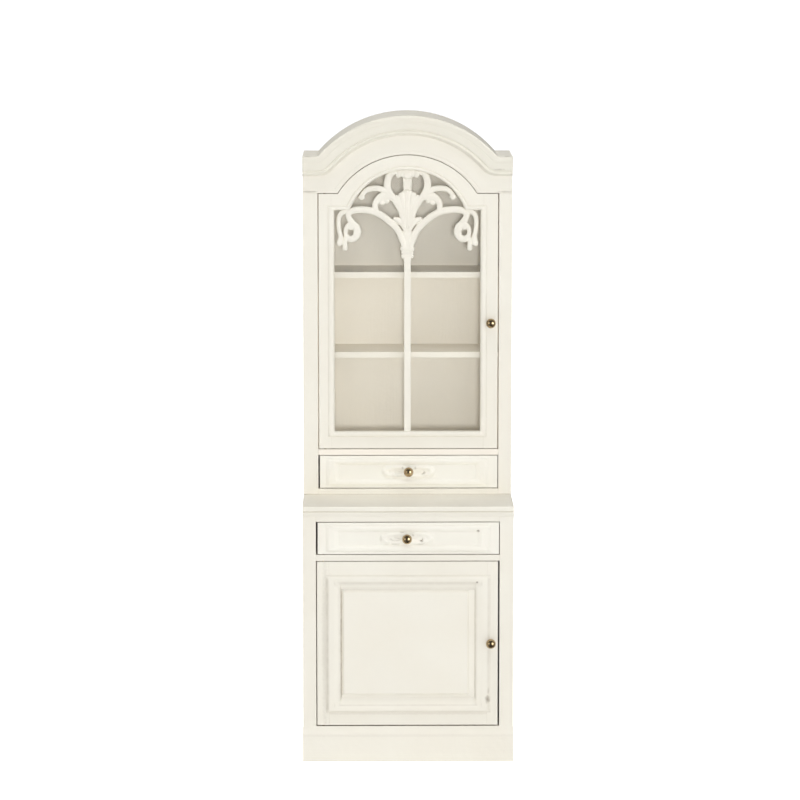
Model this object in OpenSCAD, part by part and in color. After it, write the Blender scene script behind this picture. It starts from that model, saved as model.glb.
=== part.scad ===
// Two-part curio cabinet, a collector's miniature: glazed hutch with an arched top on a cupboard base.
// Origin: centre of the footprint on the floor. +X to the right, -Y to the front, +Z up. Millimetres.

/* [Cabinet] */
// Width of the carcass
cabinet_w = 60; // [58:0.5:62]
// Depth from the front of the waist board to the back
cabinet_d = 44.6; // [43:0.1:47]
// How far the hutch front stands behind the base front
hutch_set_back = 20.1; // [18:0.1:21]
// Thickness of the side boards, whose front edges show as stiles
side_t = 4; // [3.8:0.05:4.2]
// Thickness of the back panels
back_t = 1.4; // [1:0.1:1.8]
// Gap between a door and the boards above and beside its hinge
front_gap = 0.2; // [0.2:0.05:0.3]

/* [Base] */
// Height of the plinth
plinth_h = 10.1; // [9.8:0.1:10.3]
// Top of the cupboard floor
cupboard_floor_z = 10.35; // [10.3:0.05:10.6]
// Underside of the board between cupboard and drawer
lower_board_z = 58.35; // [58:0.05:58.6]
// Floor that the lower drawer runs on
lower_drawer_z = 60.1; // [60:0.1:60.5]
// Underside of the base's top board
base_top_z = 69.6; // [69.5:0.1:69.9]
// Underside of the waist board
waist_z = 72.65; // [72.5:0.05:72.8]
// Top of the waist board, where the hutch stands
waist_top_z = 74.1; // [74:0.1:74.2]

/* [Hutch] */
// Floor that the upper drawer runs on
upper_drawer_z = 75.8; // [75.7:0.1:76.1]
// Underside of the display floor
display_floor_z = 85.6; // [85.5:0.05:85.8]
// Top of the display floor
display_z = 87.3; // [87.2:0.1:87.5]
// Top of the lower shelf
lower_shelf_z = 115.1; // [112:0.1:118]
// Top of the upper shelf
upper_shelf_z = 138.25; // [135:0.05:140]
// Thickness of a shelf
shelf_t = 1.65; // [1.4:0.05:1.9]
// Top of the stiles, where the head board starts
stile_top_z = 161.3; // [161:0.1:161.5]
// Height of the flat shoulders beside the arch
shoulder_z = 171.9; // [171.5:0.1:172]
// Radius of the cornice's arch
crown_r = 33.9; // [33.5:0.1:34.2]
// Height of that arch's centre
crown_centre_z = 149.7; // [149.5:0.1:149.8]

/* [Cornice profile] */
// How far the cornice stands in front of the head board
cornice_out = 2.9; // [2.5:0.1:3.2]
// Height of the plain fascia
fascia_h = 3.7; // [3.5:0.1:3.9]
// Height of the whole moulding
cornice_h = 5.8; // [5.6:0.1:6]

/* [Doors and drawers] */
// Thickness of both doors
door_t = 2.2; // [2:0.1:2.4]
// Radius of the pane's arch
pane_arch_r = 17.6; // [17.4:0.1:17.8]
// Height of the pane's arch centre
pane_arch_z = 150.3; // [150.2:0.1:150.4]
// Length of the lower drawer
lower_box_d = 38; // [34:1:39]
// Length of the upper drawer
upper_box_d = 21; // [18:0.5:21.5]
// Diameter of a knob's ball
knob_d = 2.9; // [2.6:0.1:3]
// Diameter of the hinge pins
pin_d = 0.8; // [0.7:0.05:0.9]

/* [Hidden] */
$fn = 96;

ivory = "#efe9dc";
bare_wood = "#dcc39a";
brass = "#b08d3c";
clear = "#e8f2f240";

half_w = cabinet_w / 2;
// The openings sit a little off centre, and the hutch's is a little wider than it should be
base_opening = [side_t - 0.2 - half_w, half_w - side_t];
hutch_opening = [side_t + 0.3 - half_w, half_w - side_t + 0.2];
waist_over = 0.7;
knob_out = 2.2;
// The lower knobs stand furthest forward, and the origin is half way between them and the back
base_depth = cabinet_d - waist_over;
back_y = (base_depth + knob_out + knob_d / 2) / 2;
back_in = back_y - back_t;
base_y = back_y - base_depth;
waist_y = base_y - waist_over;
hutch_y = base_y + hutch_set_back;
knob_side_gap = [0.45, 0.3];
lower_door_x = [base_opening[0] + front_gap, base_opening[1] - knob_side_gap[0]];
upper_door_x = [hutch_opening[0] + front_gap, hutch_opening[1] - knob_side_gap[1]];

// Plinth: a proud board that wraps under the cupboard floor's front edge
plinth_over = 0.4;
plinth_side_over = 0.15;
plinth_t = 2;
plinth_ogee_z = 7.3;
cupboard_floor_t = 1.65;
cupboard_floor_under = cupboard_floor_z - cupboard_floor_t;

// Head board and cornice
head_t = 2;
head_arch_r = 23.63;
head_arch_z = 148.7;
head_edge_w = 1.2;
head_edge_d = 0.15;
roof_t = 1.5;
kink_x = sqrt(crown_r * crown_r - pow(shoulder_z - crown_centre_z, 2));
kink_a = asin(kink_x / crown_r);

// Upper door
upper_bottom_z = display_z + front_gap;
upper_shoulder_z = stile_top_z - front_gap;
upper_arch_r = head_arch_r - front_gap;
pane_x = 20.9;
pane_bottom_z = 92.5;
pane_shoulder_z = 156.4;
bead_out_r = 19;
bead_out_z = 150;
bead_side_w = 1.9;
bead_bottom_w = 1.6;
bead_shoulder_h = 1.3;
bead_out = 0.6;
pane_t = 0.5;
frame_x = pane_x + bead_side_w / 2;
mullion_w = 1.9;
mullion_top_z = 143;
shelf_y = hutch_y + 3.5;

// Lower door
lower_bottom_z = cupboard_floor_z + 0.3;
lower_top_z = lower_board_z - front_gap;
moulding_x = 23.5;
moulding_z = [14.3, 54.2];
moulding_w = [4.2, 2.3];
moulding_out = 0.8;
moulding_inner_w = [0.4, 2];
moulding_inner_out = 0.3;
bead_in_x = moulding_x - moulding_w[0];
bead_in_z = [moulding_z[0] + moulding_w[1], moulding_z[1] - moulding_w[1]];
panel_sink = 0.3;
field_x = 18.15;
field_shift = -0.7;
field_z = [19.3, 49.85];
field_slope = [0.6, 0.6];
field_out = 0.3;
lower_frame_x = moulding_x - 1;
lower_frame_z = [moulding_z[0] + 1, moulding_z[1] - 1];

// Hinge pins: how far the axis lies from the door's edge and behind its face
pin_in = 1.8;
pin_back = 0.9;
pin_deep = 2.6;
pin_bore_deep = 3;
pin_clear = 0.05;
upper_hinge = [upper_door_x[0] + pin_in, hutch_y + pin_back];
lower_hinge = [lower_door_x[0] + pin_in, base_y + pin_back];
edge_round = 0.35;

// Drawers
drawer_front_t = 2.2;
drawer_side_t = 1.4;
drawer_bottom_t = 1;
lower_drawer_x = [base_opening[0] + 0.5, base_opening[1] - 0.2];
upper_drawer_x = [hutch_opening[0] + 0.45, hutch_opening[1] - 0.2];
drawer_gap_z = 0.2;
drawer_low_side = 1.2;
drawer_back_low = 1.6;
ring_x = 23.4;
ring_w = [3.7, 2.0];
ring_edge_z = [0.65, 0.7];
ring_out = 0.55;
applique_t = 0.6;

// Knobs
shank_r = 0.45;
shank_deep = 1.4;
rose_r = 0.85;
rose_t = 0.3;
upper_door_knob_at = [23.9, hutch_y, 124.05];
lower_door_knob_at = [23.5, base_y, 34.7];
upper_drawer_knob_at = [0.3, hutch_y, 80.9];
lower_drawer_knob_at = [-0.35, base_y, 64.95];

// ---- helpers ----

// A straight board between two corners
module board(low, high) {
    translate(low) cube(high - low);
}

// Extrudes a drawing whose axes are Y and Z along X
module along_x(x0, x1) {
    translate([x0, 0, 0]) rotate([90, 0, 90]) linear_extrude(x1 - x0) children();
}

// Extrudes a drawing whose axes are X and Z along Y
module along_y(y0, y1) {
    translate([0, y1, 0]) rotate([90, 0, 0]) linear_extrude(y1 - y0) children();
}

// A low block on a front face, with edges that slope by slope = [at the sides, at top and bottom]
module sloped_block(x, z, y_back, y_front, slope) {
    intersection() {
        translate([0, 0, z[0]]) linear_extrude(z[1] - z[0])
            polygon([[-x, y_back], [x, y_back], [x - slope[0], y_front], [slope[0] - x, y_front]]);
        along_x(-x, x)
            polygon([[y_back, z[0]], [y_back, z[1]], [y_front, z[1] - slope[1]], [y_front, z[0] + slope[1]]]);
    }
}

// A ball knob on a turned stalk. at is the point on the face that its rose sits on
module knob(at) {
    color(brass) translate(at) rotate([90, 0, 0]) {
        translate([0, 0, -shank_deep]) cylinder(r = shank_r, h = shank_deep + knob_out);
        cylinder(r = rose_r, h = rose_t);
        translate([0, 0, knob_out]) sphere(d = knob_d);
    }
}

// The hole for a knob's shank, or for its rose
module knob_hole(at, r = shank_r) {
    translate([at[0], at[1] + shank_deep, at[2]]) rotate([90, 0, 0]) cylinder(r = r, h = shank_deep + 3);
}

// A vertical round bar on a door's hinge axis
module hinge_bar(at, z0, z1, r) {
    translate([at[0], at[1], z0]) cylinder(r = r, h = z1 - z0);
}

// Front view of the hutch top: everything at least d inside its outline, from the floor up
module crown_area(d, low_z) {
    translate([d - half_w, low_z]) square([cabinet_w - 2 * d, shoulder_z - d - low_z]);
    difference() {
        translate([0, crown_centre_z]) circle(crown_r - d, $fn = 256);
        translate([-kink_x, shoulder_z]) circle(max(d, 0.001));
        translate([kink_x, shoulder_z]) circle(max(d, 0.001));
        translate([-2 * half_w, 0]) square([4 * half_w, shoulder_z - 3 * roof_t]);
    }
}

// Front view of the upper door's area, grown by grow
module door_area(r, grow, low_z) {
    translate([-half_w, low_z]) square([cabinet_w, upper_shoulder_z + grow - low_z]);
    intersection() {
        translate([0, head_arch_z]) circle(r, $fn = 256);
        translate([-half_w, upper_shoulder_z]) square([cabinet_w, head_arch_r]);
    }
}

// Front view of an arched light: half width, bottom, shoulder, arch radius and centre
module light_area(x, bottom, shoulder, r, centre_z) {
    translate([-x, bottom]) square([2 * x, shoulder - bottom]);
    intersection() {
        translate([0, centre_z]) circle(r, $fn = 192);
        translate([-x, shoulder]) square([2 * x, r]);
    }
}

module pane_area() {
    light_area(pane_x, pane_bottom_z, pane_shoulder_z, pane_arch_r, pane_arch_z);
}

module bead_area() {
    light_area(pane_x + bead_side_w, pane_bottom_z - bead_bottom_w,
        pane_shoulder_z + bead_shoulder_h, bead_out_r, bead_out_z);
}

// Half way between the pane's sight line and the bead's outer edge: the opening of the door's frame
module frame_area() {
    light_area(frame_x, pane_bottom_z - bead_bottom_w / 2,
        pane_shoulder_z + bead_shoulder_h / 2, (bead_out_r + pane_arch_r) / 2,
        (bead_out_z + pane_arch_z) / 2);
}

// ---- base ----

module base_side(x) {
    color(ivory) along_x(x[0], x[1])
        polygon([
            [base_y + plinth_t - plinth_over, 0], [back_in, 0], [back_in, waist_z], [base_y, waist_z],
            [base_y, cupboard_floor_under], [base_y + plinth_t - plinth_over, cupboard_floor_under],
        ]);
}

module base_side_left() {
    base_side([-half_w, base_opening[0]]);
}

module base_side_right() {
    base_side([base_opening[1], half_w]);
}

module base_back() {
    color(ivory) board([-half_w, back_in, 0], [half_w, back_y, waist_z]);
}

module cupboard_floor() {
    color(ivory) difference() {
        board([base_opening[0], base_y, cupboard_floor_under], [base_opening[1], back_in, cupboard_floor_z]);
        hinge_bar(lower_hinge, cupboard_floor_under - 1, cupboard_floor_z + 1, pin_d / 2);
    }
}

module lower_drawer_board() {
    color(ivory) difference() {
        board([base_opening[0], base_y, lower_board_z], [base_opening[1], back_in, lower_drawer_z]);
        hinge_bar(lower_hinge, lower_board_z - 1, lower_drawer_z + 1, pin_d / 2);
    }
}

module base_top_board() {
    color(ivory) board([base_opening[0], base_y, base_top_z], [base_opening[1], back_in, waist_z]);
}

// A board with a shallow ogee along its top edge
module plinth_front() {
    ogee = [for (t = [0 : 0.125 : 1])
        [base_y - plinth_over * (1 + cos(180 * t)) / 2, plinth_ogee_z + (plinth_h - plinth_ogee_z) * t]];
    color(ivory) along_x(-half_w - plinth_side_over, half_w + plinth_side_over)
        polygon(concat(
            [[base_y - plinth_over, 0]], ogee,
            [
                [base_y, cupboard_floor_under], [base_y + plinth_t - plinth_over, cupboard_floor_under],
                [base_y + plinth_t - plinth_over, 0],
            ]
        ));
}

// The small hollow moulding under the waist board
module waist_cove() {
    low = waist_z - 1.55;
    reach = waist_over - 0.1;
    hollow = [for (a = [0 : 15 : 90])
        [base_y - reach + (reach - 0.15) * sin(a), waist_z - 0.2 - 1.2 * (1 - cos(a))]];
    color(ivory) along_x(-half_w, half_w)
        polygon(concat([[base_y, low], [base_y, waist_z], [base_y - reach, waist_z]], hollow,
            [[base_y - 0.15, low]]));
}

module waist_board() {
    r = 0.35;
    color(ivory) along_x(-half_w, half_w) union() {
        translate([waist_y + r, waist_z]) square([cabinet_d - r, waist_top_z - waist_z]);
        translate([waist_y, waist_z + r]) square([cabinet_d, waist_top_z - waist_z - 2 * r]);
        translate([waist_y + r, waist_z + r]) circle(r);
        translate([waist_y + r, waist_top_z - r]) circle(r);
    }
}

// ---- hutch ----

module hutch_side(x) {
    color(ivory) along_x(x[0], x[1])
        polygon([
            [hutch_y, waist_top_z], [back_in, waist_top_z], [back_in, shoulder_z],
            [hutch_y + head_t, shoulder_z], [hutch_y + head_t, stile_top_z], [hutch_y, stile_top_z],
        ]);
}

module hutch_side_left() {
    hutch_side([-half_w, hutch_opening[0]]);
}

module hutch_side_right() {
    hutch_side([hutch_opening[1], half_w]);
}

module hutch_back() {
    color(ivory) along_y(back_in, back_y) crown_area(0.1, waist_top_z);
}

module hutch_bottom() {
    color(ivory) board([hutch_opening[0], hutch_y, waist_top_z], [hutch_opening[1], back_in, upper_drawer_z]);
}

module display_floor() {
    color(ivory) difference() {
        board([hutch_opening[0], hutch_y, display_floor_z], [hutch_opening[1], back_in, display_z]);
        hinge_bar(upper_hinge, display_floor_z - 1, display_z + 1, pin_d / 2);
    }
}

module shelf(top_z) {
    color(ivory) board([hutch_opening[0], shelf_y, top_z - shelf_t], [hutch_opening[1], back_in, top_z]);
}

module shelf_lower() {
    shelf(lower_shelf_z);
}

module shelf_upper() {
    shelf(upper_shelf_z);
}

// The arched board over the door, with a faint step round its arch
module head_board() {
    color(ivory) difference() {
        along_y(hutch_y, hutch_y + head_t) difference() {
            crown_area(0, stile_top_z);
            door_area(head_arch_r, front_gap, stile_top_z - 5);
        }
        along_y(hutch_y - 1, hutch_y + head_edge_d)
            door_area(head_arch_r + head_edge_w, front_gap + head_edge_w, stile_top_z - 5);
        hinge_bar(upper_hinge, stile_top_z - 1, stile_top_z + pin_bore_deep, pin_d / 2);
    }
}

// The moulding's section: how deep inside the outline, and how far in front of the head board
function cornice_section() =
    let (bead_r = 0.55, bead_d = fascia_h + 0.75, bead_y = 1.5)
    concat(
        [
            [0, 0], [0, cornice_out - 0.2], [0.2, cornice_out],
            [fascia_h / 2 - 0.15, cornice_out], [fascia_h / 2, cornice_out - 0.2],
            [fascia_h / 2 + 0.15, cornice_out], [fascia_h, cornice_out], [fascia_h, bead_y],
        ],
        [for (a = [180 : -20 : 0]) [bead_d + bead_r * cos(a), bead_y + bead_r * sin(a)]],
        [for (a = [0 : 15 : 90])
            [cornice_h - (cornice_h - bead_d - bead_r) * cos(a), bead_y * (1 - sin(a)) + 0.001 * cos(a)]]
    );

// The cornice is cut from three lengths that meet where the arch leaves the shoulders
module cornice_arch() {
    color(ivory) translate([0, hutch_y, crown_centre_z]) rotate([90, 0, 0]) rotate(90 - kink_a)
        rotate_extrude(angle = 2 * kink_a, $fn = 256)
            polygon([for (p = cornice_section()) [crown_r - p[0], p[1]]]);
}

// A straight shoulder whose section turns about the kink to meet the arch
module cornice_shoulder(s) {
    color(ivory) mirror([s > 0 ? 1 : 0, 0, 0]) {
        translate([-kink_x, hutch_y, shoulder_z]) rotate([90, 0, 0]) rotate(-90)
            rotate_extrude(angle = kink_a) polygon(cornice_section());
        along_x(-half_w, -kink_x)
            polygon([for (p = cornice_section()) [hutch_y - p[1], shoulder_z - p[0]]]);
    }
}

module cornice_shoulder_left() {
    cornice_shoulder(-1);
}

module cornice_shoulder_right() {
    cornice_shoulder(1);
}

// The bent panel that closes the top between the side boards
module roof_skin() {
    color(ivory) along_y(hutch_y + head_t, back_in) intersection() {
        difference() {
            crown_area(0, shoulder_z - 2 * roof_t);
            translate([0, crown_centre_z]) circle(crown_r - roof_t, $fn = 256);
        }
        translate([hutch_opening[0], shoulder_z - 2 * roof_t])
            square([hutch_opening[1] - hutch_opening[0], crown_r]);
    }
}

module upper_hinge_pins() {
    color(brass) {
        hinge_bar(upper_hinge, display_floor_z, upper_bottom_z + pin_deep, pin_d / 2);
        hinge_bar(upper_hinge, upper_shoulder_z - pin_deep, stile_top_z + pin_bore_deep, pin_d / 2);
    }
}

module lower_hinge_pins() {
    color(brass) {
        hinge_bar(lower_hinge, cupboard_floor_under, lower_bottom_z + pin_deep, pin_d / 2);
        hinge_bar(lower_hinge, lower_top_z - pin_deep, lower_drawer_z, pin_d / 2);
    }
}

// ---- doors ----

// The stile on the hinge side: its outer front edge is rounded and both ends are bored for the pins
module hinge_stile(x, y_face, z0, z1, hinge) {
    difference() {
        translate([x[0], y_face, z0]) linear_extrude(z1 - z0) union() {
            translate([edge_round, 0]) square([x[1] - x[0] - edge_round, door_t]);
            translate([0, edge_round]) square([edge_round, door_t - edge_round]);
            translate([edge_round, edge_round]) circle(edge_round);
        }
        hinge_bar(hinge, z0 - 1, z0 + pin_bore_deep, pin_d / 2 + pin_clear);
        hinge_bar(hinge, z1 - pin_bore_deep, z1 + 1, pin_d / 2 + pin_clear);
    }
}

module upper_door_stile_left() {
    x = [upper_door_x[0], -frame_x];
    color(ivory) hinge_stile(x, hutch_y, upper_bottom_z, upper_shoulder_z, upper_hinge);
}

module upper_door_stile_right() {
    color(ivory) difference() {
        board([frame_x, hutch_y, upper_bottom_z], [upper_door_x[1], hutch_y + door_t, upper_shoulder_z]);
        knob_hole(upper_door_knob_at);
    }
}

module upper_door_rail_bottom() {
    color(ivory) board([-frame_x, hutch_y, upper_bottom_z],
        [frame_x, hutch_y + door_t, pane_bottom_z - bead_bottom_w / 2]);
}

module upper_door_rail_top() {
    low = pane_shoulder_z + bead_shoulder_h / 2;
    color(ivory) along_y(hutch_y, hutch_y + door_t) difference() {
        intersection() {
            door_area(upper_arch_r, 0, low);
            translate([-frame_x, low]) square([2 * frame_x, 40]);
        }
        frame_area();
    }
}

// The glazing bead: it laps the frame's inner edge and holds the pane against the back
module upper_door_bead() {
    color(ivory) {
        along_y(hutch_y - bead_out, hutch_y) difference() {
            bead_area();
            pane_area();
        }
        along_y(hutch_y, hutch_y + door_t - pane_t) difference() {
            frame_area();
            pane_area();
        }
    }
}

module upper_door_pane() {
    color(clear) along_y(hutch_y + door_t - pane_t, hutch_y + door_t) frame_area();
}

module upper_door_mullion() {
    color(ivory) board([-mullion_w / 2, hutch_y, pane_bottom_z],
        [mullion_w / 2, hutch_y + door_t - pane_t, mullion_top_z]);
}

// Smooth points through a short list of hand-placed ones
function strand_point(a, b, c, d, t) =
    0.5 * (2 * b + (c - a) * t + (2 * a - 5 * b + 4 * c - d) * t * t
        + (3 * b - 3 * c + d - a) * t * t * t);
function strand(p, steps = 4) =
    let (n = len(p) - 1)
    [for (i = [0 : n - 1], k = [0 : steps - (i == n - 1 ? 0 : 1)])
        strand_point(p[max(i - 1, 0)], p[i], p[i + 1], p[min(i + 2, n)], k / steps)];

// A flat tendril whose width goes from w0 to w1 along its points
module tendril(p, w0, w1) {
    pts = strand(p);
    n = len(pts) - 1;
    for (i = [0 : n - 1]) hull() {
        translate(pts[i]) circle(d = w0 + (w1 - w0) * i / n, $fn = 16);
        translate(pts[i + 1]) circle(d = w0 + (w1 - w0) * (i + 1) / n, $fn = 16);
    }
}

// One half of the tracery, right of the centre line. Its origin is the sight line's bottom centre
module half_tracery() {
    // the vine that rises from the stem and arches over to the side
    tendril(
        [[1.1, 146.2], [2.3, 150], [5.4, 153.4], [10, 156.2], [15.4, 156.7], [16.8, 155.6], [16.3, 153.2]],
        1.6, 1.7
    );
    // its end rolls into a scroll with an open eye
    difference() {
        translate([15.9, 150.1]) scale([0.78, 1]) circle(r = 2.95, $fn = 40);
        translate([16.2, 149.8]) circle(r = 0.75, $fn = 20);
    }
    tendril([[17.2, 149.2], [17.7, 147.8], [18, 145.2]], 1.4, 0.8);
    // outer drop, along the bead
    tendril([[16.4, 156.8], [19.5, 155.8], [20.2, 152], [19.9, 146.2]], 1.4, 1.2);
    // inner branch, rising to the arch and curling in
    tendril([[0.6, 152], [1.5, 156], [4.9, 160.5], [5.8, 163.7], [4.8, 166.3], [2.6, 166.2]], 1.5, 1.6);
    // side branch that ends in a ball
    tendril([[6, 161.6], [8.2, 162.5], [11.4, 162.3], [13, 160.4]], 1.4, 1.5);
    translate([13.1, 160.2]) circle(r = 1, $fn = 24);
    // hook back down to the vine, with a small curl
    tendril([[5.6, 161.2], [8.4, 159.4], [9.1, 156.4]], 1.5, 1.3);
    translate([7.2, 158]) circle(r = 0.9, $fn = 20);
    // leaf beside the stem
    tendril([[0.6, 149], [2, 152.6], [3, 154]], 1.4, 1.8);
    // fan shell lobes
    translate([1.9, 159.8]) circle(r = 1.2, $fn = 24);
    tendril([[0.6, 154], [1.6, 157.5], [2, 159.6]], 2.2, 1.8);
    // scalloped crest under the crown of the arch
    translate([1.4, 167.2]) circle(r = 1.3, $fn = 24);
}

// The tracery, trimmed to the pane's sight line and to the mullion's end
module upper_door_fretwork() {
    thick = 1.5;
    color(ivory) along_y(hutch_y + door_t - pane_t - thick, hutch_y + door_t - pane_t) intersection() {
        union() {
            half_tracery();
            mirror([1, 0]) half_tracery();
            // stem with its collar, the shell's centre lobe and the crest's stalk
            translate([-1.4, mullion_top_z + 0.4]) square([2.8, 12]);
            translate([-2.1, 144.6]) square([4.2, 1.2]);
            translate([-1.6, mullion_top_z]) square([3.2, 1]);
            translate([0, 158.6]) circle(r = 2.4, $fn = 32);
            translate([-1.1, 160]) square([2.2, 7]);
        }
        difference() {
            pane_area();
            translate([-mullion_w, 0]) square([2 * mullion_w, mullion_top_z]);
        }
    }
}

module upper_door_knob() {
    knob(upper_door_knob_at);
}

module lower_door_stile_left() {
    x = [lower_door_x[0], -lower_frame_x];
    color(ivory) hinge_stile(x, base_y, lower_bottom_z, lower_top_z, lower_hinge);
}

module lower_door_stile_right() {
    color(ivory) difference() {
        board([lower_frame_x, base_y, lower_bottom_z], [lower_door_x[1], base_y + door_t, lower_top_z]);
        knob_hole(lower_door_knob_at);
    }
}

module lower_door_rail_bottom() {
    color(ivory) board([-lower_frame_x, base_y, lower_bottom_z],
        [lower_frame_x, base_y + door_t, lower_frame_z[0]]);
}

module lower_door_rail_top() {
    color(ivory) board([-lower_frame_x, base_y, lower_frame_z[1]],
        [lower_frame_x, base_y + door_t, lower_top_z]);
}

// The panel inside the frame, with a raised field that sits a little off centre
module lower_door_panel() {
    color(ivory) {
        board([-lower_frame_x, base_y + panel_sink, lower_frame_z[0]],
            [lower_frame_x, base_y + door_t, lower_frame_z[1]]);
        translate([field_shift, 0, 0])
            sloped_block(field_x, field_z, base_y + panel_sink, base_y - field_out, field_slope);
    }
}

// The applied moulding round the panel: a broad bead, then a slope down to the panel.
// It is notched where the knob's rose sits.
module lower_door_moulding() {
    slope_y = base_y - moulding_inner_out;
    color(ivory) difference() {
        union() {
            sloped_block(moulding_x, moulding_z, base_y, base_y - moulding_out, [1, 0.6]);
            board([-lower_frame_x, base_y, lower_frame_z[0]],
                [lower_frame_x, base_y + panel_sink, lower_frame_z[1]]);
        }
        board([-bead_in_x, base_y - 2, bead_in_z[0]], [bead_in_x, slope_y, bead_in_z[1]]);
        sloped_block(bead_in_x, bead_in_z, slope_y, base_y + panel_sink, moulding_inner_w);
        knob_hole(lower_door_knob_at, rose_r);
    }
}

module lower_door_knob() {
    knob(lower_door_knob_at);
}

// ---- drawers ----
// x = [left edge, right edge], z = [floor that it runs on, board above it], knob_at = where its knob sits

function front_z(z) = [z[0] + drawer_gap_z, z[1] - drawer_gap_z];

module drawer_front(x, y_face, z, knob_at) {
    color(ivory) difference() {
        board([x[0], y_face, front_z(z)[0]], [x[1], y_face + drawer_front_t, front_z(z)[1]]);
        knob_hole(knob_at);
    }
}

function ring_z(z) = [front_z(z)[0] + ring_edge_z[0], front_z(z)[1] - ring_edge_z[1]];

module drawer_moulding(y_face, z) {
    r = ring_z(z);
    color(ivory) difference() {
        sloped_block(ring_x, r, y_face, y_face - ring_out, [0.6, 0.4]);
        sloped_block(ring_x - ring_w[0] + 0.6, [r[0] + ring_w[1] - 0.4, r[1] - ring_w[1] + 0.4],
            y_face - ring_out - 0.5, y_face + 0.5, [1.1, 0.7]);
    }
}

// A low carved spray behind the knob, in the middle of the moulding's field: two scrolls at each side
module drawer_applique(z, knob_at) {
    middle_z = (ring_z(z)[0] + ring_z(z)[1]) / 2;
    color(ivory) difference() {
        along_y(knob_at[1] - applique_t, knob_at[1]) translate([knob_at[0], middle_z]) union() {
            for (s = [0, 1]) mirror([s, 0]) {
                tendril([[0.5, 0], [2.2, 1.1], [4.6, 1.2], [6.6, 0.6], [6.9, -0.6], [5.6, -1.1]], 1.1, 0.9);
                tendril([[0.5, -0.6], [2, -1.2], [4, -1.2]], 1.1, 0.8);
                translate([4.2, 0]) circle(r = 0.6, $fn = 20);
            }
            circle(r = 1.75, $fn = 40);
        }
        knob_hole(knob_at, rose_r);
    }
}

// x_low = the side board's left face
module drawer_side(x_low, y_face, z, length) {
    color(bare_wood) board(
        [x_low, y_face + drawer_front_t, front_z(z)[0]],
        [x_low + drawer_side_t, y_face + length, front_z(z)[1] - drawer_low_side]);
}

module drawer_back(x, y_face, z, length) {
    color(bare_wood) board(
        [x[0] + drawer_side_t, y_face + length - drawer_side_t, front_z(z)[0] + drawer_bottom_t],
        [x[1] - drawer_side_t, y_face + length, front_z(z)[1] - drawer_back_low]);
}

module drawer_bottom(x, y_face, z, length) {
    color(bare_wood) board(
        [x[0] + drawer_side_t, y_face + drawer_front_t, front_z(z)[0]],
        [x[1] - drawer_side_t, y_face + length, front_z(z)[0] + drawer_bottom_t]);
}

upper_bay = [upper_drawer_z, display_floor_z];
lower_bay = [lower_drawer_z, base_top_z];

module upper_drawer_front() {
    drawer_front(upper_drawer_x, hutch_y, upper_bay, upper_drawer_knob_at);
}

module upper_drawer_moulding() {
    drawer_moulding(hutch_y, upper_bay);
}

module upper_drawer_applique() {
    drawer_applique(upper_bay, upper_drawer_knob_at);
}

module upper_drawer_side_left() {
    drawer_side(upper_drawer_x[0], hutch_y, upper_bay, upper_box_d);
}

module upper_drawer_side_right() {
    drawer_side(upper_drawer_x[1] - drawer_side_t, hutch_y, upper_bay, upper_box_d);
}

module upper_drawer_back() {
    drawer_back(upper_drawer_x, hutch_y, upper_bay, upper_box_d);
}

module upper_drawer_bottom() {
    drawer_bottom(upper_drawer_x, hutch_y, upper_bay, upper_box_d);
}

module upper_drawer_knob() {
    knob(upper_drawer_knob_at);
}

module lower_drawer_front() {
    drawer_front(lower_drawer_x, base_y, lower_bay, lower_drawer_knob_at);
}

module lower_drawer_moulding() {
    drawer_moulding(base_y, lower_bay);
}

module lower_drawer_applique() {
    drawer_applique(lower_bay, lower_drawer_knob_at);
}

module lower_drawer_side_left() {
    drawer_side(lower_drawer_x[0], base_y, lower_bay, lower_box_d);
}

module lower_drawer_side_right() {
    drawer_side(lower_drawer_x[1] - drawer_side_t, base_y, lower_bay, lower_box_d);
}

module lower_drawer_back() {
    drawer_back(lower_drawer_x, base_y, lower_bay, lower_box_d);
}

module lower_drawer_bottom() {
    drawer_bottom(lower_drawer_x, base_y, lower_bay, lower_box_d);
}

module lower_drawer_knob() {
    knob(lower_drawer_knob_at);
}

base_side_left();
base_side_right();
base_back();
cupboard_floor();
lower_drawer_board();
base_top_board();
plinth_front();
waist_cove();
waist_board();
hutch_side_left();
hutch_side_right();
hutch_back();
hutch_bottom();
display_floor();
shelf_lower();
shelf_upper();
head_board();
cornice_arch();
cornice_shoulder_left();
cornice_shoulder_right();
roof_skin();
upper_hinge_pins();
lower_hinge_pins();
upper_door_stile_left();
upper_door_stile_right();
upper_door_rail_bottom();
upper_door_rail_top();
upper_door_bead();
upper_door_pane();
upper_door_mullion();
upper_door_fretwork();
upper_door_knob();
lower_door_stile_left();
lower_door_stile_right();
lower_door_rail_bottom();
lower_door_rail_top();
lower_door_panel();
lower_door_moulding();
lower_door_knob();
upper_drawer_front();
upper_drawer_moulding();
upper_drawer_applique();
upper_drawer_side_left();
upper_drawer_side_right();
upper_drawer_back();
upper_drawer_bottom();
upper_drawer_knob();
lower_drawer_front();
lower_drawer_moulding();
lower_drawer_applique();
lower_drawer_side_left();
lower_drawer_side_right();
lower_drawer_back();
lower_drawer_bottom();
lower_drawer_knob();
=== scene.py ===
"""Looks for the miniature curio cabinet: brushed ivory paint, brass knobs, a clear pane and carved trim.

The scene is in metres in the cabinet's own frame: +X right, -Y front, +Z up. The shapes' own sizes and
places are written in millimetres in that frame.
"""

import math

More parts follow.
